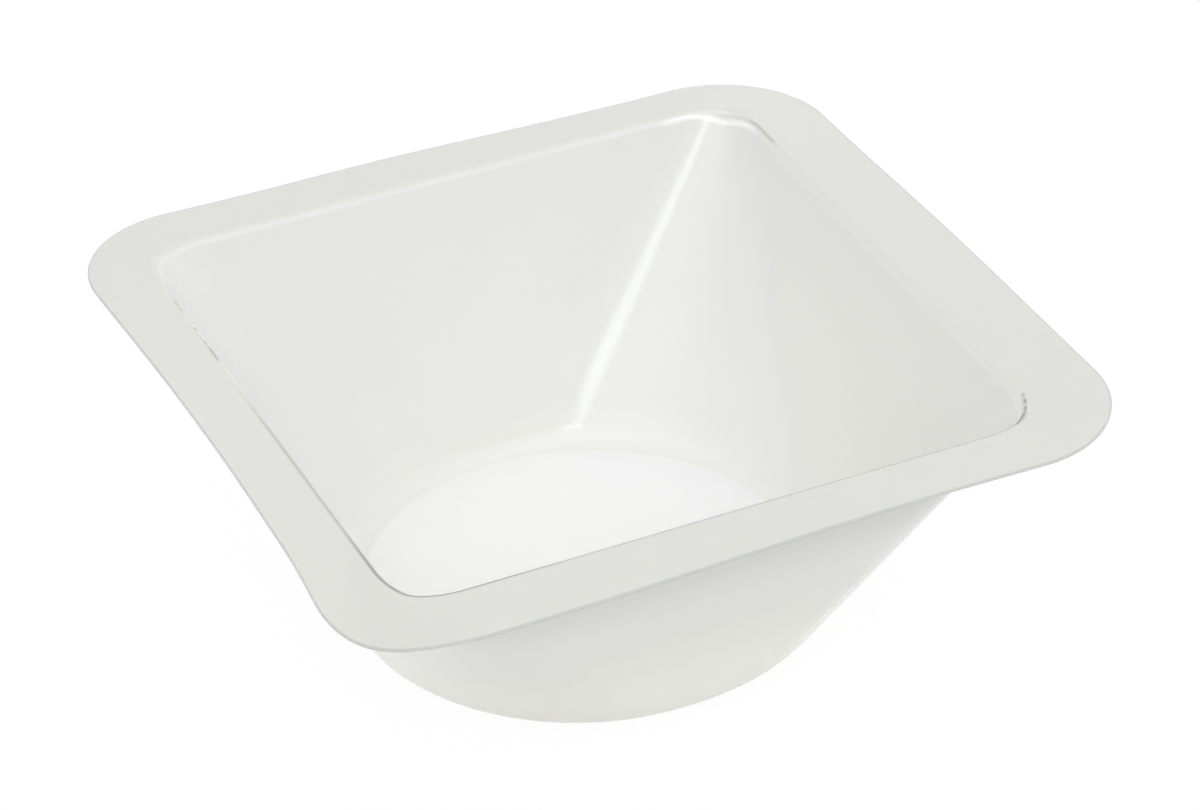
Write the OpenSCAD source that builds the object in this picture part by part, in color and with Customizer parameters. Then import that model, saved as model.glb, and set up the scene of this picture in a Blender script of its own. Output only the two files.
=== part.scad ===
// Square weighing boat, drawn from one thin sheet of white plastic.
// The opening is a rounded square and the floor is a round disc. The wall is
// the ruled surface between them: four flat triangles, each standing on one
// side of the square with its tip on the disc, and four oblique quarter cones
// in the corners. A level rim runs round the opening.
// The origin is under the middle of the rim, on the plane the boat stands on.

/* [Opening and rim] */
// Side of the square opening, where wall and rim would meet unrolled
opening_side = 68; // [56:0.5:90]
// Corner radius of the opening
opening_corner_r = 6.2; // [3:0.1:10]
// Width of the level rim round the opening
rim_w = 8; // [5:0.5:14]
// Radius of the rim's outer corners
rim_corner_r = 12.6; // [9:0.1:18]
// Radius on top where the rim rolls over into the wall
lip_r = 1; // [0.8:0.1:2.5]
// How far left of the rim's middle the bowl sits, from off-centre trimming
bowl_shift = 0.9; // [0:0.1:2]

/* [Bowl] */
// Depth inside, from the top of the rim to the floor
depth = 30.6; // [18:0.2:40]
// Diameter of the floor, where wall and floor would meet unrolled
floor_d = 49.4; // [36:0.2:54]
// Radius inside where the wall runs into the floor
floor_r = 2.6; // [1:0.1:5]

/* [Sheet] */
// Thickness of the sheet
sheet = 0.35; // [0.2:0.05:0.6]

/* [Smoothness] */
// Steps round each quarter of a corner or of the floor
corner_steps = 20; // [8:1:28]
// Steps across each of the rolled edges
roll_steps = 5; // [3:1:6]

/* [Hidden] */

boat_h = depth + sheet;
opening_h = opening_side / 2 - opening_corner_r;  // half of a straight side
rim_half = opening_side / 2 + rim_w;

// Lean of the flat walls from upright, and the length of their middle line
wall_lean = atan((opening_side / 2 - floor_d / 2) / depth);
wall_slant = depth / cos(wall_lean);

// Where a wall meets a level plane, the meeting line moves sideways by this
// much for each millimetre that both are moved out through the sheet. It is
// also the length of a rolled edge's tangent for each millimetre of radius.
miter = tan((90 - wall_lean) / 2);
roll_weight = sin((90 + wall_lean) / 2);  // makes the rolled edges true arcs

// A ring is [half of its straight side, corner radius, height, middle's X].
// Its outline is a rounded square, or a circle where the side is zero.
function ring_points(ring) = [
    for (quarter = [0 : 3], step = [0 : corner_steps])
        let (a = 90 * (quarter + step / corner_steps),
             side = 90 * quarter + 45)
            [ring[3] + sign(cos(side)) * ring[0] + ring[1] * cos(a),
             sign(sin(side)) * ring[0] + ring[1] * sin(a),
             ring[2]]
];

// A point of the arc that leaves p towards q and arrives at r from q
function roll(p, q, r, t) =
    let (wp = pow(1 - t, 2), wq = 2 * t * (1 - t) * roll_weight, wr = t * t)
        (wp * p + wq * q + wr * r) / (wp + wq + wr);

// Rings down one face of the sheet, from the rim to the floor. The face lies
// `under` below the rim's top, measured through the sheet.
function bowl_rings(under) =
    let (grow = miter * under,
         brink = [opening_h, opening_corner_r + grow, boat_h - under, -bowl_shift],
         foot = [0, floor_d / 2 + grow, sheet - under, -bowl_shift],
         lip_t = miter * (lip_r - under),
         foot_t = miter * (floor_r + under),
         rim_edge = brink + [0, lip_t, 0, 0],
         wall_top = brink + (foot - brink) * lip_t / wall_slant,
         wall_end = foot + (brink - foot) * foot_t / wall_slant,
         floor_edge = foot - [0, foot_t, 0, 0])
        concat([for (i = [0 : roll_steps])
                    roll(rim_edge, brink, wall_top, i / roll_steps)],
               [for (i = [0 : roll_steps])
                    roll(wall_end, foot, floor_edge, i / roll_steps)]);

// The trimmed edge of the sheet at one height
function rim_ring(z) =
    [rim_half - rim_corner_r, rim_corner_r, z, 0];

// Closed solid skinned over rings that are listed from the top down
module loft(rings) {
    around = 4 * (corner_steps + 1);
    last = len(rings) - 1;
    polyhedron(
        points = [for (ring = rings) each ring_points(ring)],
        faces = concat(
            [[for (j = [around - 1 : -1 : 0]) j]],
            [for (i = [0 : last - 1], j = [0 : around - 1])
                let (a = i * around, b = a + around, k = (j + 1) % around)
                    [a + j, a + k, b + k, b + j]],
            [[for (j = [0 : around - 1]) last * around + j]]));
}

// The sheet is what lies between its outer face and its inner face, which is
// carried straight up past the rim's top so that the bowl is cut open
module boat() {
    outer = concat([rim_ring(boat_h), rim_ring(boat_h - sheet)], bowl_rings(sheet));
    inner = bowl_rings(0);
    color("white") difference() {
        loft(outer);
        loft(concat([inner[0] + [0, 0, sheet, 0]], inner));
    }
}

boat();
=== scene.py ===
"""Looks of a square weighing boat, drawn from one thin sheet of white polystyrene.

The boat is a single formed sheet: a level rim with a trimmed edge, a rolled
lip, a wall that runs from a rounded square to a round floor, and a rolled
foot. Every ring of it is a rounded square, so one rule gives the whole shape,
and Geometry Nodes draw it from the sizes below.
"""

from __future__ import annotations

import logging
import math
from dataclasses import dataclass, field, fields
from enum import Enum
from typing import Any, Union

import bpy
from mathutils import Matrix, Vector


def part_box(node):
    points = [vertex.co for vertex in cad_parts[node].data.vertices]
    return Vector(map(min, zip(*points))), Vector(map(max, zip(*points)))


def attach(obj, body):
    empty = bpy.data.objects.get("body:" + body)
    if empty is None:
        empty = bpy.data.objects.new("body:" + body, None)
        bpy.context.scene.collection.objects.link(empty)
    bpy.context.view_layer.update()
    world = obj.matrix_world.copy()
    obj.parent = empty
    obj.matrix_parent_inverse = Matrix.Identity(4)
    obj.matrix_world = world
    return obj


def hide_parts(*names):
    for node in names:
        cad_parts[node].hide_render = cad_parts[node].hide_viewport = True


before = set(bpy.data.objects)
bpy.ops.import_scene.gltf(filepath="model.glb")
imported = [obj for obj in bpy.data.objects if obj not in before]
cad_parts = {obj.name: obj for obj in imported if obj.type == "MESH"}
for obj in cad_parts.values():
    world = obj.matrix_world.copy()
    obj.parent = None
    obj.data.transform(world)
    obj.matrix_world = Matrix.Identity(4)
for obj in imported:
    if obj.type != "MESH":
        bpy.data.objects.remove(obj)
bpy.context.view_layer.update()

logging.basicConfig(level=logging.INFO, format="%(name)s: %(message)s")
LOG = logging.getLogger("weighing_boat")

BODY = "root"
NODE = "boat"
MM = 0.001
QUARTER_TURN = math.pi / 2
AIM = (-4.4 * MM, -12.4 * MM)

Colour = tuple[float, float, float, float]
Range = tuple[float, float]


# --------------------------------------------------------------------------
# Node boards: arithmetic that adds nodes to a tree
# --------------------------------------------------------------------------


@dataclass(frozen=True)
class Value:
    """One output of a node. Arithmetic on it adds the nodes that work it out."""

    board: "Board"
    socket: bpy.types.NodeSocket

    @property
    def is_vector(self) -> bool:
        """Whether the output carries a vector and not a number."""
        return self.socket.type == "VECTOR"

    def __add__(self, other: "Operand") -> "Value":
        """Sum."""
        return self.board.combine(self, "ADD", other)

    def __sub__(self, other: "Operand") -> "Value":
        """Difference."""
        return self.board.combine(self, "SUBTRACT", other)

    def __rsub__(self, other: "Operand") -> "Value":
        """Difference, with the number on the left."""
        return self * -1.0 + other

    def __mul__(self, other: "Operand") -> "Value":
        """Product with a number."""
        return self.board.combine(self, "MULTIPLY", other)

    def __truediv__(self, other: "Operand") -> "Value":
        """Quotient by a number."""
        return self.board.combine(self, "DIVIDE", other)


Operand = Union[Value, float, tuple]


class Board:
    """A node tree while it is being put together."""

    ROWS = 14
    PITCH = (210.0, 190.0)

    def __init__(self, tree: bpy.types.NodeTree) -> None:
        """Starts on an existing tree.

        Args:
            tree: The tree that receives the nodes.
        """
        self.tree = tree
        self.count = 0

    def add(self, kind: str, feed: dict[Any, Any] | None = None, **settings: Any) -> bpy.types.Node:
        """Adds one node.

        Args:
            kind: The node's type name.
            feed: What goes into its inputs, by name or number.
            settings: Properties of the node itself.

        Returns:
            The new node.
        """
        node = self.tree.nodes.new(kind)
        column, row = divmod(self.count, self.ROWS)
        node.location = (column * self.PITCH[0], -row * self.PITCH[1])
        self.count += 1
        for name, value in settings.items():
            setattr(node, name, value)
        for key, value in (feed or {}).items():
            self.feed(node.inputs[key], value)
        return node

    def feed(self, socket: bpy.types.NodeSocket, value: Any) -> None:
        """Links a value to an input, or sets the input to a constant.

        Args:
            socket: The input.
            value: A Value, an output socket or a constant.
        """
        if isinstance(value, Value):
            self.tree.links.new(value.socket, socket)
        elif isinstance(value, bpy.types.NodeSocket):
            self.tree.links.new(value, socket)
        else:
            socket.default_value = value

    def value(self, kind: str, feed: dict[Any, Any] | None = None, out: Any = 0, **settings: Any) -> Value:
        """Adds one node and gives one of its outputs.

        Args:
            kind: The node's type name.
            feed: What goes into its inputs.
            out: Name or number of the output.
            settings: Properties of the node itself.

        Returns:
            The output.
        """
        return Value(self, self.add(kind, feed, **settings).outputs[out])

    def math(self, operation: str, *terms: Operand, clamp: bool = False) -> Value:
        """Adds a Math node.

        Args:
            operation: The node's operation.
            terms: Its one, two or three numbers.
            clamp: Whether the result is kept from 0 to 1.

        Returns:
            The result.
        """
        return self.value("ShaderNodeMath", dict(enumerate(terms)), operation=operation, use_clamp=clamp)

    def combine(self, left: Value, operation: str, right: Operand) -> Value:
        """Adds the node for one arithmetic sign between two operands.

        Args:
            left: What stands on the left, a number or a vector.
            operation: ADD, SUBTRACT, MULTIPLY or DIVIDE.
            right: What stands on the right.

        Returns:
            The result.
        """
        if not left.is_vector:
            return self.math(operation, left, right)
        scalar = not isinstance(right, tuple) and not (isinstance(right, Value) and right.is_vector)
        if scalar and operation in ("MULTIPLY", "DIVIDE"):
            factor = right if operation == "MULTIPLY" else self.math("DIVIDE", 1.0, right)
            return self.value("ShaderNodeVectorMath", {0: left, "Scale": factor}, operation="SCALE")
        return self.value("ShaderNodeVectorMath", {0: left, 1: right}, operation=operation)

    def vector(self, x: Operand, y: Operand, z: Operand) -> Value:
        """A vector from three numbers."""
        return self.value("ShaderNodeCombineXYZ", {0: x, 1: y, 2: z})

    def parts(self, vector: Value) -> tuple[Value, Value, Value]:
        """The three numbers of a vector."""
        node = self.add("ShaderNodeSeparateXYZ", {0: vector})
        return tuple(Value(self, output) for output in node.outputs)

    def ramp(
        self, value: Operand, low: Operand, high: Operand, start: float = 0.0, end: float = 1.0
    ) -> Value:
        """Maps a range of a number smoothly to another range.

        Args:
            value: The number.
            low: Where the range starts.
            high: Where it ends.
            start: The result at and before low.
            end: The result at and after high.

        Returns:
            The mapped number.
        """
        feed = {"Value": value, "From Min": low, "From Max": high, "To Min": start, "To Max": end}
        return self.value("ShaderNodeMapRange", feed, interpolation_type="SMOOTHSTEP")


class Kind(Enum):
    """Kinds of socket that the tree's inputs and outputs have."""

    NUMBER = "NodeSocketFloat"
    COUNT = "NodeSocketInt"
    GEOMETRY = "NodeSocketGeometry"
    MATERIAL = "NodeSocketMaterial"


class GroupBoard(Board):
    """A board whose tree has named inputs and outputs."""

    def __init__(self, tree: bpy.types.NodeTree, asks: dict[str, Kind], gives: dict[str, Kind]) -> None:
        """Makes the tree's interface.

        Args:
            tree: An empty tree.
            asks: Its inputs, by name.
            gives: Its outputs, by name.
        """
        super().__init__(tree)
        for name, kind in asks.items():
            tree.interface.new_socket(name, in_out="INPUT", socket_type=kind.value)
        for name, kind in gives.items():
            tree.interface.new_socket(name, in_out="OUTPUT", socket_type=kind.value)
        self._given = self.add("NodeGroupInput")

    def given(self, name: str) -> Value:
        """One of the tree's inputs."""
        return Value(self, self._given.outputs[name])

    def give(self, **results: Value) -> None:
        """Sends results to the tree's outputs.

        Args:
            results: What each output gets, by name.
        """
        self.add("NodeGroupOutput", dict(results))


# --------------------------------------------------------------------------
# The formed sheet
# --------------------------------------------------------------------------


class Face(Enum):
    """Faces of the sheet, by the share of its thickness that lies over them."""

    TOP = 0.0
    UNDER = 1.0


@dataclass(frozen=True)
class SheetSizes:
    """Sizes of the formed sheet in metres, each an input of the node tree."""

    opening_side: float = 68.0 * MM
    opening_radius: float = 6.2 * MM
    rim_width: float = 8.0 * MM
    rim_radius: float = 12.6 * MM
    lip_radius: float = 1.0 * MM
    bowl_shift: float = 0.9 * MM
    depth: float = 30.6 * MM
    floor_diameter: float = 49.4 * MM
    floor_radius: float = 2.6 * MM
    thickness: float = 0.35 * MM
    edge_radius: float = 0.10 * MM
    corner_crest: float = 0.33 * MM
    ripple: float = 0.05 * MM


@dataclass(frozen=True)
class Bend:
    """A place where the rim's edge is bent up, or down where the lift is negative.

    The bearing and the half width are in degrees round the boat, from its
    right side, and the lift in metres.
    """

    place: str
    bearing: float
    half_width: float
    lift: float

    def inputs(self) -> dict[str, float]:
        """What the node tree asks for, by the names of its inputs."""
        return {
            f"{self.place} bearing": math.radians(self.bearing),
            f"{self.place} half width": math.radians(self.half_width),
            f"{self.place} lift": self.lift,
        }


BENDS = (
    Bend("Back", 108.0, 99.0, -1.15 * MM),
    Bend("Back right corner", 45.0, 60.0, -1.5 * MM),
    Bend("Left side", 178.0, 62.0, 2.0 * MM),
    Bend("Front left corner", 221.0, 13.0, -1.9 * MM),
    Bend("Front", 292.0, 62.0, 1.0 * MM),
)


@dataclass(frozen=True)
class Steps:
    """How finely the sheet is drawn, as counts of faces along each stretch."""

    corner: int = 28
    side: int = 24
    floor: int = 10
    roll: int = 12
    wall: int = 26
    rim: int = 12
    edge: int = 3


class Mask(Enum):
    """Masks that the sheet's mesh carries for its material, from 0 to 1.

    DRAWN grows from the rim, where the sheet has its full thickness, to the
    floor, and the colour that follows it is partly painted light. LIP is the
    middle of the rolled lip, which carries a painted shade line; the trimmed
    edge's mask marks where the edge is painted darker as shade; UNDER is the
    sheet's under face.
    """

    DRAWN = "drawn"
    LIP = "lip"
    CUT = "cut"
    UNDER = "under"


# Where the masks begin and end, as shares of the stretch that they lie on
ROLL_SHARE = 0.1
LIP_BEGINS = (0.4, 0.6)
LIP_ENDS = (0.75, 0.95)
# Where the trimmed edge's painted shade begins
EDGE_SHADE_BEGINS = (0.98, 0.995)


@dataclass(frozen=True)
class Profile:
    """What the profile's rule gives at one ring.

    The point is a vector of half side, corner radius and height. The shares
    run from 0 to 1: across the rim from the lip, and up the wall.
    """

    point: Value
    across_rim: Value
    up_wall: Value
    drawn: Value
    lip: Value
    cut: Value


def by_title(group: SheetSizes | Steps) -> dict[str, float]:
    """Values of a dataclass, by the names of the tree's inputs.

    Args:
        group: The dataclass.

    Returns:
        Its values.
    """
    return {f.name.replace("_", " ").capitalize(): getattr(group, f.name) for f in fields(group)}


@dataclass
class FormedSheet:
    """The boat itself, one closed sheet with a top face, an under face and a trimmed edge."""

    sizes: SheetSizes
    bends: tuple[Bend, ...] = BENDS
    steps: Steps = field(default_factory=Steps)
    merge_distance: float = 0.001 * MM
    crowding: float = 0.8
    crest_sway: float = 4.0
    ripple_scale: float = 55.0
    flat_foot: Range = (1.0 * MM, 8.0 * MM)
    name: str = "boat_sheet"

    def build(self, finish: bpy.types.Material) -> bpy.types.Object:
        """Runs the node tree and keeps its result as a plain mesh.

        Args:
            finish: The material of the sheet.

        Returns:
            The finished piece, riding on its body.
        """
        tree = self._tree()
        host = bpy.data.objects.new(self.name + "_host", bpy.data.meshes.new(self.name + "_host"))
        bpy.context.scene.collection.objects.link(host)
        modifier = host.modifiers.new("formed_sheet", "NODES")
        values = {"Finish": finish, **by_title(self.sizes), **by_title(self.steps)}
        for bend in self.bends:
            values.update(bend.inputs())
        modifier.node_group = tree
        for item in tree.interface.items_tree:
            if item.in_out == "INPUT":
                modifier[item.identifier] = values[item.name]
        graph = bpy.context.evaluated_depsgraph_get()
        mesh = bpy.data.meshes.new_from_object(host.evaluated_get(graph))
        mesh.name = self.name
        mesh.materials.clear()
        mesh.materials.append(finish)
        host.modifiers.remove(modifier)
        bpy.data.objects.remove(host)
        piece = bpy.data.objects.new(self.name, mesh)
        bpy.context.scene.collection.objects.link(piece)
        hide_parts(NODE)
        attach(piece, BODY)
        LOG.info("%s: %d vertices, %d faces", self.name, len(mesh.vertices), len(mesh.polygons))
        return piece

    def _tree(self) -> bpy.types.NodeTree:
        """Builds the tree: both faces, joined at the trimmed edge.

        Returns:
            The Geometry Nodes tree.
        """
        asks = {name: Kind.NUMBER for name in by_title(self.sizes)}
        asks.update({name: Kind.COUNT for name in by_title(self.steps)})
        for bend in self.bends:
            asks.update({name: Kind.NUMBER for name in bend.inputs()})
        asks["Finish"] = Kind.MATERIAL
        tree = bpy.data.node_groups.new("formed_sheet", "GeometryNodeTree")
        board = GroupBoard(tree, asks, {"Geometry": Kind.GEOMETRY})
        joined = board.add("GeometryNodeJoinGeometry")
        for face in Face:
            board.tree.links.new(self._skin(board, face).socket, joined.inputs[0])
        feed = {"Geometry": joined.outputs[0], "Distance": self.merge_distance}
        merged = board.value("GeometryNodeMergeByDistance", feed)
        smooth = board.value("GeometryNodeSetShadeSmooth", {"Geometry": merged})
        real = board.value("GeometryNodeRealizeInstances", {"Geometry": smooth})
        feed = {"Geometry": real, "Material": board.given("Finish")}
        dressed = board.value("GeometryNodeSetMaterial", feed)
        board.give(Geometry=dressed)
        return tree

    def _skin(self, board: GroupBoard, face: Face) -> Value:
        """Draws one face of the sheet, from the middle of the floor to the trimmed edge.

        Args:
            board: The tree's board.
            face: Which face.

        Returns:
            The face as a mesh.
        """
        given = board.given
        stations = (given("Corner") + given("Side")) * 4.0 + 1.0
        rings = given("Floor") + given("Wall") + given("Rim") + given("Edge")
        rings = rings + given("Roll") * 2.0 + 2.0
        grid = board.add("GeometryNodeMeshGrid", {"Vertices X": stations, "Vertices Y": rings})
        index = Value(board, board.add("GeometryNodeInputIndex").outputs[0])
        station = board.math("FLOOR", (index + 0.5) / rings)
        ring = index - station * rings
        core, outward, crest = self._outline(board, station)
        profile = self._profile(board, face, ring)
        half, radius, height = board.parts(profile.point)
        reach = profile.across_rim
        shift = given("Bowl shift") * (reach - 1.0)
        plan = core * half + outward * radius + board.vector(shift, 0.0, 0.0)
        plan = plan + crest * (profile.up_wall * (1.0 - reach) * given("Corner crest"))
        flat = plan + board.vector(0.0, 0.0, height)
        bent = flat + board.vector(0.0, 0.0, self._lift(board, plan, reach)) + self._ripple(board, flat)
        feed = {"Geometry": grid.outputs["Mesh"], "Position": bent}
        placed = board.value("GeometryNodeSetPosition", feed)
        masks = {Mask.DRAWN: profile.drawn, Mask.LIP: profile.lip, Mask.CUT: profile.cut}
        for mask, amount in {**masks, Mask.UNDER: face.value}.items():
            feed = {"Geometry": placed, "Name": mask.value, "Value": amount}
            placed = board.value("GeometryNodeStoreNamedAttribute", feed, data_type="FLOAT", domain="POINT")
        if face is Face.TOP:
            placed = board.value("GeometryNodeFlipFaces", {"Mesh": placed})
        return placed

    def _outline(self, board: GroupBoard, station: Value) -> tuple[Value, Value, Value]:
        """The rule of the outline: corner arcs joined by straight sides.

        A corner may turn more tightly in its middle than at its ends. The crest
        is the shift that does so and leaves the direction of every point as it is.

        Args:
            board: The tree's board.
            station: How many steps round the outline, from the middle of the right side.

        Returns:
            Where the corner's centre lies in a square of half side 1, the
            direction from it, and the crest of height 1.
        """
        corner, side = board.given("Corner"), board.given("Side")
        quarter = board.math("FLOOR", (station + 0.5) / (corner + side))
        step = station - quarter * (corner + side)
        turn = board.math("DIVIDE", step, corner, clamp=True)
        slide = board.math("DIVIDE", step - corner, side, clamp=True)
        angle = (quarter + turn) * QUARTER_TURN
        outward = self._round(board, angle)
        this_corner = self._round(board, (quarter + 0.5) * QUARTER_TURN) * math.sqrt(2)
        next_corner = self._round(board, (quarter + 1.5) * QUARTER_TURN) * math.sqrt(2)
        core = this_corner + (next_corner - this_corner) * slide
        along = board.vector(board.math("SINE", angle) * -1.0, board.math("COSINE", angle), 0.0)
        sway = board.math("SINE", angle * 4.0) * self.crest_sway
        crest = outward * (1.0 - board.math("COSINE", angle * 4.0)) + along * sway
        return core, outward, crest

    def _round(self, board: GroupBoard, angle: Value) -> Value:
        """The unit vector at an angle from the X axis."""
        return board.vector(board.math("COSINE", angle), board.math("SINE", angle), 0.0)

    def _profile(self, board: GroupBoard, face: Face, ring: Value) -> Profile:
        """The rule of the profile: what each ring's half side, radius and height are.

        Args:
            board: The tree's board.
            face: Which face of the sheet.
            ring: How many rings out from the middle of the floor.

        Returns:
            The ring's place and its masks.
        """
        given = board.given
        under = given("Thickness") * face.value
        over = given("Thickness") * (1.0 - face.value)
        half = given("Opening side") * 0.5 - given("Opening radius")
        foot_in = given("Floor diameter") * 0.5
        lean = board.math("ARCTANGENT", (given("Opening side") * 0.5 - foot_in) / given("Depth"))
        slant = given("Depth") / board.math("COSINE", lean)
        miter = board.math("TANGENT", (QUARTER_TURN - lean) * 0.5)
        weight = board.math("SINE", (lean + QUARTER_TURN) * 0.5)
        grow = miter * under
        lip_run = miter * (given("Lip radius") - under)
        foot_run = miter * (given("Floor radius") + under)
        rim_half = given("Opening side") * 0.5 + given("Rim width") - given("Rim radius")
        edge = given("Edge radius")
        # Points of the profile, each [half side, radius, height]
        centre = board.vector(0.0, 0.0, over)
        foot = board.vector(0.0, foot_in + grow, over)
        brink = board.vector(half, given("Opening radius") + grow, given("Depth") + over)
        down = (brink - foot) / slant
        floor_edge = foot - board.vector(0.0, foot_run, 0.0)
        wall_low = foot + down * foot_run
        wall_high = brink - down * lip_run
        rim_start = brink + board.vector(0.0, lip_run, 0.0)
        trim = board.vector(rim_half, given("Rim radius"), given("Depth") + over)
        trim_in = trim - board.vector(0.0, edge, 0.0)
        inward = 1.0 - 2.0 * face.value
        trim_out = trim - board.vector(0.0, 0.0, edge * inward)
        trim_mid = trim - board.vector(0.0, 0.0, given("Thickness") * 0.5 * inward)
        sections = (
            (given("Floor"), (centre, floor_edge), None),
            (given("Roll"), (floor_edge, foot, wall_low), weight),
            (given("Wall"), (wall_low, wall_high), None),
            (given("Roll"), (wall_high, brink, rim_start), weight),
            (given("Rim"), (rim_start, trim_in), None),
            (given("Edge"), (trim_in, trim, trim_out), math.sqrt(0.5)),
            (board.math("ADD", 1.0, 0.0), (trim_out, trim_mid), None),
        )
        point, shares = centre, []
        start: Operand = 0.0
        for count, course, pull in sections:
            share = board.math("DIVIDE", ring - start, count, clamp=True)
            if pull is None:
                share = self._ease(board, share)
                move = (course[1] - course[0]) * share
            else:
                move = self._roll(board, course, pull, share) - course[0]
            point = point + move
            shares.append(share)
            start = count + start
        _, on_foot, up_wall, on_lip, across_rim, _, on_cut = shares
        before_lip = (1.0 - on_lip) * ROLL_SHARE
        before_foot = (1.0 - on_foot) * ROLL_SHARE
        return Profile(
            point=point,
            across_rim=across_rim,
            up_wall=up_wall,
            drawn=before_lip + (1.0 - up_wall) * (1.0 - 2 * ROLL_SHARE) + before_foot,
            lip=board.ramp(on_lip, *LIP_BEGINS) * board.ramp(on_lip, *LIP_ENDS, 1.0, 0.0),
            cut=board.ramp(across_rim, *EDGE_SHADE_BEGINS) * (1.0 - on_cut),
        )

    def _ease(self, board: GroupBoard, share: Value) -> Value:
        """Draws the rings of a straight run together towards its two ends."""
        return share - board.math("SINE", share * (2 * math.pi)) * (self.crowding / (2 * math.pi))

    def _roll(self, board: GroupBoard, course: tuple[Value, ...], pull: Operand, share: Value) -> Value:
        """A point of the arc that leaves a towards b and arrives at c from b.

        Args:
            board: The tree's board, not used.
            course: The points a, b and c.
            pull: Weight of the middle point, which makes the curve a true arc.
            share: How far along, from 0 to 1.

        Returns:
            The point.
        """
        rest = 1.0 - share
        weights = (rest * rest, share * rest * 2.0 * pull, share * share)
        total = weights[0] + weights[1] + weights[2]
        drawn_to = course[0] * weights[0] + course[1] * weights[1] + course[2] * weights[2]
        return drawn_to / total

    def _lift(self, board: GroupBoard, plan: Value, reach: Value) -> Value:
        """How far handling has bent the rim up at a point.

        Args:
            board: The tree's board.
            plan: The point's place in plan.
            reach: How far across the rim it lies.

        Returns:
            The lift in metres.
        """
        x, y, _ = board.parts(plan)
        bearing = board.math("ARCTAN2", y, x)
        lift: Operand = 0.0
        for bend in self.bends:
            centre, half_width, most = (board.given(name) for name in bend.inputs())
            away = board.math("PINGPONG", bearing - centre, math.pi) / half_width
            near = board.math("COSINE", board.math("MINIMUM", away, 1.0) * math.pi) * 0.5 + 0.5
            lift = near * most + lift
        return lift * reach

    def _ripple(self, board: GroupBoard, place: Value) -> Value:
        """The slight unevenness of a drawn sheet, with the foot left flat.

        Args:
            board: The tree's board.
            place: Where the point lies before it.

        Returns:
            The shift as a vector.
        """
        feed = {"Vector": place, "Scale": self.ripple_scale, "Detail": 1.0, "Roughness": 0.4}
        noise = board.value("ShaderNodeTexNoise", feed, out="Color", noise_dimensions="3D")
        _, _, height = board.parts(place)
        raised = board.ramp(height, *self.flat_foot)
        shift = board.vector(*board.parts(noise)) - (0.5, 0.5, 0.5)
        return shift * (board.given("Ripple") * raised * 2.0)


# --------------------------------------------------------------------------
# Finish
# --------------------------------------------------------------------------


@dataclass(frozen=True)
class EdgeMark:
    """A mark along the opening's edge, in metres: a painted highlight, painted shade or a dark stroke.

    The offset says how far outside the edge it runs, x and y where its middle
    is and reach how far it goes from there. A broken one is a row of strokes.
    """

    name: str
    offset: float
    half_width: float
    x: float
    y: float
    reach: float
    strength: float
    broken: bool = False


# Painted highlight: a pale arc on the back right corner's lip, where a lamp glints on the roll.
PAINTED_LIP_HIGHLIGHT = EdgeMark("whitened crease", -0.12 * MM, 0.22 * MM, 30.1 * MM, 32.4 * MM, 6.6 * MM, 0.65)
# Painted shade: a dark line and a darker end beside the corner's painted highlight, where the lip turns
# from the light; and broken dark strokes at the left and right corners' lips.
PAINTED_SHADE_AND_DARK_STROKES = (
    EdgeMark("crease shadow", 0.30 * MM, 0.20 * MM, 32.6 * MM, 30.6 * MM, 4.2 * MM, 0.16),
    EdgeMark("crease end", 0.38 * MM, 0.26 * MM, 33.6 * MM, 27.0 * MM, 3.4 * MM, 0.36),
    EdgeMark("left scuff", 0.30 * MM, 0.24 * MM, -35.2 * MM, 18.0 * MM, 8.0 * MM, 0.7, broken=True),
    EdgeMark("right scuff", 0.85 * MM, 0.28 * MM, 32.4 * MM, -31.8 * MM, 3.6 * MM, 0.9, broken=True),
)


@dataclass(frozen=True)
class Tones:
    """Colours of the sheet, from the rim, where it is thickest, to the floor, partly painted light."""

    # Rim darker, wall lighter, floor brightest: partly the sheet paling as it thins, partly painted light
    # for light falling into the bowl and bouncing there.
    rim: Colour = (0.707, 0.711, 0.680, 1.0)
    wall: Colour = (0.811, 0.812, 0.808, 1.0)
    # Painted shade: the right wall a little darker and more olive, where it turns from the light.
    right_wall: Colour = (0.812, 0.814, 0.792, 1.0)
    # Near white, for painted highlights and the painted-lighter lower wall.
    foot: Colour = (0.995, 0.995, 0.990, 1.0)
    floor: Colour = (0.978, 0.982, 0.890, 1.0)
    # Painted shadow on the outside under the rim.
    outer_rim: Colour = (0.605, 0.607, 0.590, 1.0)
    outer_wall: Colour = (0.808, 0.812, 0.784, 1.0)
    # Painted shade: a dark line along the trimmed edge.
    cut: Colour = (0.560, 0.565, 0.540, 1.0)
    # Painted shade on the lip and beside the corner highlight, also used for broken dark strokes.
    rubbed: Colour = (0.330, 0.335, 0.310, 1.0)


@dataclass(frozen=True)
class Fade:
    """How one tone passes into the next down the sheet, partly as it is drawn thinner and partly as painted
    light.
    """

    start: float
    end: float
    share: float = 1.0

    def over(self, board: Board, drawn: Value) -> Value:
        """How much of the next tone there is, from 0 to the share."""
        return board.ramp(drawn, self.start, self.end, 0.0, self.share)


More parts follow.
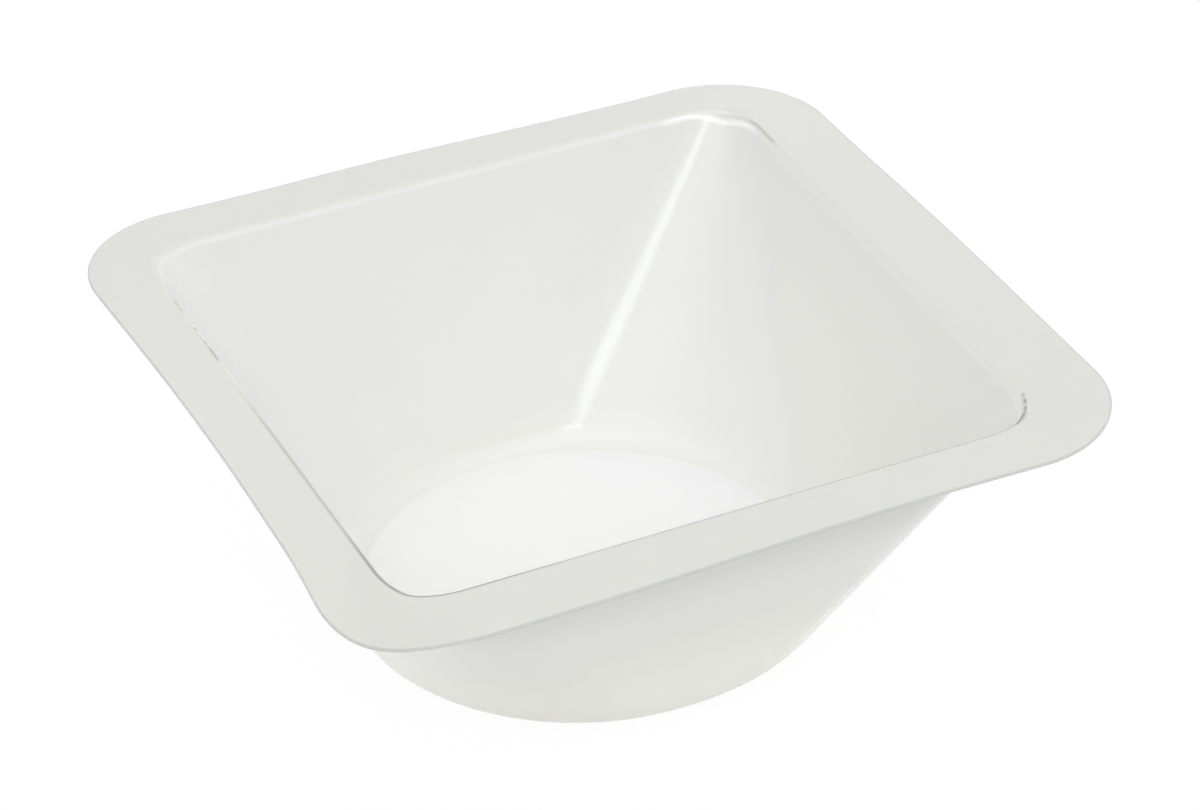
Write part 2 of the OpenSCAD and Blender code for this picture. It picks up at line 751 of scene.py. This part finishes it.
@dataclass(frozen=True)
class WhitePolystyrene:
    """Glossy white polystyrene as it comes off the mould.

    The sheet is drawn thinner on its way down, and the thinner it is, the
    paler it looks. So its colour runs from the rim's to the floor's; that run
    is also painted light, the floor and lower wall painted brighter for light
    that falls into the bowl and bounces there. Painted highlights and painted
    shade lie on top of it.
    """

    sizes: SheetSizes
    tones: Tones = Tones()
    roughness: float = 0.12
    roughness_spread: float = 0.02
    index: float = 1.59
    scatter: float = 0.35 * MM
    scatter_by_colour: tuple[float, float, float] = (1.0, 1.0, 0.95)
    grain_scale: float = 700.0
    grain_height: float = 0.02 * MM
    grain_strength: float = 0.05
    stroke_scale: float = 500.0
    rim_to_wall: Fade = Fade(0.02, 0.09)
    # Painted light: the lower wall painted lighter.
    wall_painted_lighter_low: Fade = Fade(0.5, 0.9, 0.12)
    # Wall to floor: the floor painted brighter, partly as painted light.
    wall_to_foot: Fade = Fade(0.82, 0.92, 0.2)
    foot_to_floor: Fade = Fade(0.975, 0.995, 0.8)
    # Painted shadow under the rim, fading down the outside of the wall.
    outer_shade_to_wall: Fade = Fade(0.05, 0.5)
    # Painted light: the outside painted lighter towards the bottom.
    outer_wall_painted_lighter_low: Fade = Fade(0.5, 1.0, 0.75)
    # Where the painted highlight on the foot lies.
    foot_radius: float = 22.8 * MM
    # Where the right wall's painted shade begins, and how it slants.
    right_wall_start: float = 23.8 * MM
    right_wall_slope: float = 0.335
    name: str = "white_polystyrene"

    def material(self) -> bpy.types.Material:
        """Builds the material.

        Returns:
            The material.
        """
        made = bpy.data.materials.new(self.name)
        made.use_nodes = True
        made.node_tree.nodes.clear()
        board = Board(made.node_tree)
        place = board.value("ShaderNodeTexCoord", out="Object")
        grain = self._noise(board, place, self.grain_scale, 2.0)
        relief = {"Height": grain, "Strength": self.grain_strength, "Distance": self.grain_height}
        smoothest, roughest = self.roughness - self.roughness_spread, self.roughness + self.roughness_spread
        surface = board.add(
            "ShaderNodeBsdfPrincipled",
            {
                "Base Color": self._colour(board, place),
                "Roughness": board.ramp(grain, 0.3, 0.7, smoothest, roughest),
                "IOR": self.index,
                "Subsurface Weight": 1.0,
                "Subsurface Radius": self.scatter_by_colour,
                "Subsurface Scale": self.scatter,
                "Normal": board.value("ShaderNodeBump", relief),
            },
        )
        board.add("ShaderNodeOutputMaterial", {"Surface": surface.outputs[0]})
        return made

    def _noise(self, board: Board, place: Value, scale: float, detail: float) -> Value:
        """Noise from 0 to 1 over the object.

        Args:
            board: The material's board.
            place: Object coordinates.
            scale: How many of its waves there are in a metre.
            detail: How many finer layers it has.

        Returns:
            The noise.
        """
        return board.value("ShaderNodeTexNoise", {"Vector": place, "Scale": scale, "Detail": detail})

    def _mask(self, board: Board, mask: Mask) -> Value:
        """A mask that the sheet's mesh carries."""
        return board.value("ShaderNodeAttribute", out="Fac", attribute_name=mask.value)

    def _mix(self, board: Board, share: Operand, first: Value | Colour, second: Value | Colour) -> Value:
        """Mixes two colours.

        Args:
            board: The material's board.
            share: How much of the second, from 0 to 1.
            first: The colour at 0.
            second: The colour at 1.

        Returns:
            The colour.
        """
        return board.value("ShaderNodeMix", {0: share, 6: first, 7: second}, out=2, data_type="RGBA")

    def _colour(self, board: Board, place: Value) -> Value:
        """The colour over the sheet, with painted light, painted highlights and painted shade in it.

        Args:
            board: The material's board.
            place: Object coordinates.

        Returns:
            The colour.
        """
        tones, drawn, under = self.tones, self._mask(board, Mask.DRAWN), self._mask(board, Mask.UNDER)
        sheet = self._mix(board, under, self._inside(board, place, drawn), self._outside(board, drawn))
        # Painted shade along the trimmed edge.
        edge_shaded = self._mix(board, self._mask(board, Mask.CUT), sheet, tones.cut)
        top = 1.0 - under
        # Painted highlight on the back right corner's lip.
        lip_highlight = self._edge_marks(board, place, (PAINTED_LIP_HIGHLIGHT,))
        with_lip_highlight = self._mix(board, lip_highlight * top, edge_shaded, tones.foot)
        # Painted shade on the lips and beside the corner highlight, and broken dark strokes at two corners.
        dark = board.math("MAXIMUM", self._edge_marks(board, place, PAINTED_SHADE_AND_DARK_STROKES), self._painted_lip_shade(board, place))
        return self._mix(board, dark * top, with_lip_highlight, tones.rubbed)

    def _inside(self, board: Board, place: Value, drawn: Value) -> Value:
        """The colour of the top face, partly painted light: painted shade on the right wall, a lower wall
        and floor painted brighter and a painted highlight at the foot.

        Args:
            board: The material's board.
            place: Object coordinates.
            drawn: How far the sheet is drawn.

        Returns:
            The colour.
        """
        tones = self.tones
        # Painted shade on the right wall.
        wall = self._mix(board, self._right_wall_shade_mask(board, place), tones.wall, tones.right_wall)
        # Painted light: the lower wall painted lighter.
        wall = self._mix(board, self.wall_painted_lighter_low.over(board, drawn), wall, tones.foot)
        inside = self._mix(board, self.rim_to_wall.over(board, drawn), tones.rim, wall)
        floor = self.wall_to_foot.over(board, drawn) + self.foot_to_floor.over(board, drawn)
        inside = self._mix(board, floor, inside, tones.floor)
        # Painted highlight along the foot on the right.
        return self._mix(board, self._painted_foot_highlight(board, place), inside, tones.foot)

    def _outside(self, board: Board, drawn: Value) -> Value:
        """The colour of the under face: painted shadow under the rim, and painted lighter towards the
        bottom.

        Args:
            board: The material's board.
            drawn: How far the sheet is drawn.

        Returns:
            The colour.
        """
        wall, floor = self.outer_shade_to_wall.over(board, drawn), self.outer_wall_painted_lighter_low.over(board, drawn)
        outside = self._mix(board, wall, self.tones.outer_rim, self.tones.outer_wall)
        return self._mix(board, floor, outside, self.tones.floor)

    def _right_wall_shade_mask(self, board: Board, place: Value) -> Value:
        """The right wall up to the back corner's cone, painted a little darker and more olive as painted
        shade, where it turns from the light.

        Args:
            board: The material's board.
            place: Object coordinates.

        Returns:
            1 on it and 0 elsewhere.
        """
        x, y, _ = board.parts(place)
        past = x - board.math("MAXIMUM", y, 0.0) * self.right_wall_slope - self.right_wall_start
        return board.ramp(past, -0.3 * MM, 0.9 * MM)

    def _painted_foot_highlight(self, board: Board, place: Value) -> Value:
        """Where the foot carries a painted highlight on the right: a thin bright line, and the floor fading
        into it as a painted reflection.

        Args:
            board: The material's board.
            place: Object coordinates.

        Returns:
            How pale it is, from 0 to 1.
        """
        x, y, z = board.parts(place)
        across = x + self.sizes.bowl_shift
        past = board.math("SQRT", across * across + y * y) - self.foot_radius
        line = board.ramp(board.math("ABSOLUTE", past), 0.05 * MM, 0.40 * MM, 1.0, 0.0)
        fade = board.ramp(past, -12.0 * MM, -1.0 * MM, 0.0, 0.9)
        fade = fade * board.ramp(past, 0.05 * MM, 0.40 * MM, 1.0, 0.0)
        low = board.ramp(z, 1.0 * MM, 1.5 * MM, 1.0, 0.0)
        return board.math("MAXIMUM", line, fade) * low * board.ramp(x, 2.0 * MM, 16.0 * MM)

    def _painted_lip_shade(self, board: Board, place: Value) -> Value:
        """Where the lip carries painted shade: a thin dark line on the left and front, where the lip rolls
        away from the light, darkest at their corner.

        Args:
            board: The material's board.
            place: Object coordinates.

        Returns:
            How dark it is, from 0 to 1.
        """
        x, y, _ = board.parts(place)
        to_corner = x * -0.6 + y * -0.8
        sides = board.ramp(to_corner, 14.0 * MM, 24.0 * MM, 0.0, 0.5)
        corner = board.ramp(to_corner, 36.0 * MM, 44.0 * MM, 0.0, 0.5)
        front = board.ramp(y, -33.0 * MM, -30.0 * MM, 0.35, 0.0)
        return self._mask(board, Mask.LIP) * board.math("MAXIMUM", sides + corner, front)

    def _edge_marks(self, board: Board, place: Value, places: tuple[EdgeMark, ...]) -> Value:
        """Where marks run along the opening's edge: a painted highlight, painted shade and broken dark
        strokes.

        Args:
            board: The material's board.
            place: Object coordinates.
            places: The marks.

        Returns:
            How strong they are, from 0 to 1.
        """
        x, y, _ = board.parts(place)
        outside = self._outside_opening(board, x, y)
        strokes = board.ramp(self._noise(board, place, self.stroke_scale, 3.0), 0.42, 0.55)
        marked: Operand = 0.0
        for mark in places:
            away = board.math("SQRT", (x - mark.x) * (x - mark.x) + (y - mark.y) * (y - mark.y))
            aside = board.math("ABSOLUTE", outside - mark.offset)
            line = board.ramp(aside, mark.half_width * 0.3, mark.half_width, mark.strength, 0.0)
            line = line * board.ramp(away, mark.reach * 0.6, mark.reach, 1.0, 0.0)
            marked = board.math("MAXIMUM", line * strokes if mark.broken else line, marked)
            marked.socket.node.label = mark.name
        return marked

    def _outside_opening(self, board: Board, x: Value, y: Value) -> Value:
        """How far a point lies outside the opening's edge.

        Args:
            board: The material's board.
            x: The point's X.
            y: The point's Y.

        Returns:
            The distance in metres, less than 0 inside the opening.
        """
        corner = self.sizes.opening_side / 2 - self.sizes.opening_radius
        beyond = []
        for along in (x + self.sizes.bowl_shift, y):
            beyond.append(board.math("MAXIMUM", board.math("ABSOLUTE", along) - corner, 0.0))
        reach = board.math("SQRT", beyond[0] * beyond[0] + beyond[1] * beyond[1])
        return reach - self.sizes.opening_radius


# --------------------------------------------------------------------------
# Studio
# --------------------------------------------------------------------------


def bearing(azimuth: float, elevation: float) -> Vector:
    """The direction from the object towards a place round it.

    Args:
        azimuth: Degrees round the object, 0 in front and 90 on its right.
        elevation: Degrees above the level.

    Returns:
        A unit vector.
    """
    a, e = math.radians(azimuth), math.radians(elevation)
    return Vector((math.sin(a) * math.cos(e), -math.cos(a) * math.cos(e), math.sin(e)))


def facing(back: Vector, roll: float = 0.0) -> Matrix:
    """Axes of a camera or lamp that looks against a direction.

    Args:
        back: Unit vector from the target to the camera or lamp.
        roll: Degrees that it is turned about its own line of sight.

    Returns:
        A rotation matrix.
    """
    right = Vector((-back.y, back.x, 0.0)).normalized()
    rise = back.cross(right)
    axes = Matrix((right, rise, back)).transposed()
    return axes @ Matrix.Rotation(math.radians(roll), 3, "Z")


@dataclass(frozen=True)
class Viewpoint:
    """The camera, at the angle from which the boat is shown."""

    target: Vector
    azimuth: float = -24.401
    elevation: float = 34.349
    roll: float = -1.351
    distance: float = 0.4881
    lens: float = 148.14
    sensor: float = 36.0
    clip: Range = (0.01, 20.0)

    def place(self) -> bpy.types.Object:
        """Makes the camera and gives it to the scene.

        Returns:
            The camera.
        """
        data = bpy.data.cameras.new("camera")
        data.lens, data.sensor_width = self.lens, self.sensor
        data.clip_start, data.clip_end = self.clip
        camera = bpy.data.objects.new("camera", data)
        bpy.context.scene.collection.objects.link(camera)
        back = bearing(self.azimuth, self.elevation)
        axes = facing(back, self.roll).to_4x4()
        camera.matrix_world = Matrix.Translation(self.target + back * self.distance) @ axes
        bpy.context.scene.camera = camera
        return camera


@dataclass(frozen=True)
class SoftBox:
    """A rectangular lamp that faces the boat."""

    name: str
    azimuth: float
    elevation: float
    distance: float
    width: float
    height: float
    radiance: float
    colour: tuple[float, float, float]

    def place(self, target: Vector) -> bpy.types.Object:
        """Makes the lamp.

        Args:
            target: What it faces.

        Returns:
            The lamp.
        """
        data = bpy.data.lights.new(self.name, "AREA")
        data.shape = "RECTANGLE"
        data.size, data.size_y = self.width, self.height
        data.energy = self.radiance * math.pi * self.width * self.height
        data.color = self.colour
        lamp = bpy.data.objects.new(self.name, data)
        bpy.context.scene.collection.objects.link(lamp)
        back = bearing(self.azimuth, self.elevation)
        lamp.matrix_world = Matrix.Translation(target + back * self.distance) @ facing(back).to_4x4()
        return lamp


STRIP = SoftBox(
    name="strip",
    azimuth=-15.5,
    elevation=29.0,
    distance=1.5,
    width=0.23,
    height=0.60,
    radiance=2.4,
    colour=(0.92, 0.99, 1.0),
)


@dataclass(frozen=True)
class Studio:
    """A plain white table in a white room.

    The room has a level of its own, which grows towards its right and its
    back, and a broad soft window.
    """

    level: float = 0.62
    level_to_right: float = 0.305
    level_to_back: float = 0.190
    window_azimuth: float = -35.0
    window_elevation: float = 57.0
    window_level: float = 1.25
    window_focus: float = 3.0
    table_side: float = 6.0
    table_gap: float = 0.02 * MM
    table_tone: float = 0.8
    table_glow: float = 1.03
    table_glow_share: float = 0.92
    lamps: tuple[SoftBox, ...] = (STRIP,)

    def build(self, target: Vector) -> None:
        """Makes the world, the table and the lamps.

        Args:
            target: What the lamps face.
        """
        self._room()
        self._table()
        for lamp in self.lamps:
            lamp.place(target)
            LOG.info("lamp %s placed", lamp.name)

    def _room(self) -> None:
        """Makes the room's light."""
        world = bpy.data.worlds.new("room")
        bpy.context.scene.world = world
        world.use_nodes = True
        world.node_tree.nodes.clear()
        board = Board(world.node_tree)
        right, back, up = board.parts(board.value("ShaderNodeTexCoord", out="Generated"))
        window = bearing(self.window_azimuth, self.window_elevation)
        towards = board.math("MAXIMUM", right * window.x + back * window.y + up * window.z, 0.0)
        level = right * self.level_to_right + back * self.level_to_back + self.level
        level = level + board.math("POWER", towards, self.window_focus) * self.window_level
        sky = board.add("ShaderNodeBackground", {"Color": (1.0, 1.0, 1.0, 1.0), "Strength": level})
        board.add("ShaderNodeOutputWorld", {"Surface": sky.outputs[0]})

    def _table(self) -> None:
        """Makes the table, just below the boat so that the two faces stay apart."""
        mesh = bpy.data.meshes.new("table")
        half = self.table_side / 2
        corners = [(-half, -half, 0.0), (half, -half, 0.0), (half, half, 0.0), (-half, half, 0.0)]
        mesh.from_pydata(corners, [], [(0, 1, 2, 3)])
        table = bpy.data.objects.new("table", mesh)
        table.location.z = -self.table_gap
        bpy.context.scene.collection.objects.link(table)
        mesh.materials.append(self._table_material())

    def _table_material(self) -> bpy.types.Material:
        """Makes the table's finish: white to the eye and in gloss, with the boat's shadow kept.

        Returns:
            The material, which is clear from below.
        """
        made = bpy.data.materials.new("white_table")
        made.use_nodes = True
        made.node_tree.nodes.clear()
        board = Board(made.node_tree)
        path = board.add("ShaderNodeLightPath").outputs
        gloss = board.math("MAXIMUM", path["Is Glossy Ray"], path["Is Transmission Ray"])
        seen = board.math("MAXIMUM", path["Is Camera Ray"], gloss)
        matte = board.add("ShaderNodeBsdfDiffuse", {"Color": (self.table_tone,) * 3 + (1.0,)})
        glow = board.add("ShaderNodeEmission", {"Color": (1.0, 1.0, 1.0, 1.0), "Strength": self.table_glow})
        shares = {0: seen * self.table_glow_share, 1: matte.outputs[0], 2: glow.outputs[0]}
        lit = board.add("ShaderNodeMixShader", shares)
        below = board.add("ShaderNodeNewGeometry").outputs["Backfacing"]
        clear = board.add("ShaderNodeBsdfTransparent")
        whole = board.add("ShaderNodeMixShader", {0: below, 1: lit.outputs[0], 2: clear.outputs[0]})
        board.add("ShaderNodeOutputMaterial", {"Surface": whole.outputs[0]})
        return made


def main() -> None:
    """Builds the scene."""
    low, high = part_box(NODE)
    drawn = SheetSizes()
    rim_width = ((high.x - low.x) - drawn.opening_side) / 2
    depth = (high.z - low.z) - drawn.thickness
    sizes = SheetSizes(rim_width=rim_width, depth=depth)
    FormedSheet(sizes).build(WhitePolystyrene(sizes).material())
    Studio().build(Vector((-sizes.bowl_shift, 0.0, high.z / 2)))
    Viewpoint(target=Vector((*AIM, high.z))).place()
    bpy.context.scene.view_settings.view_transform = "Standard"


if __name__ == "__main__":
    main()
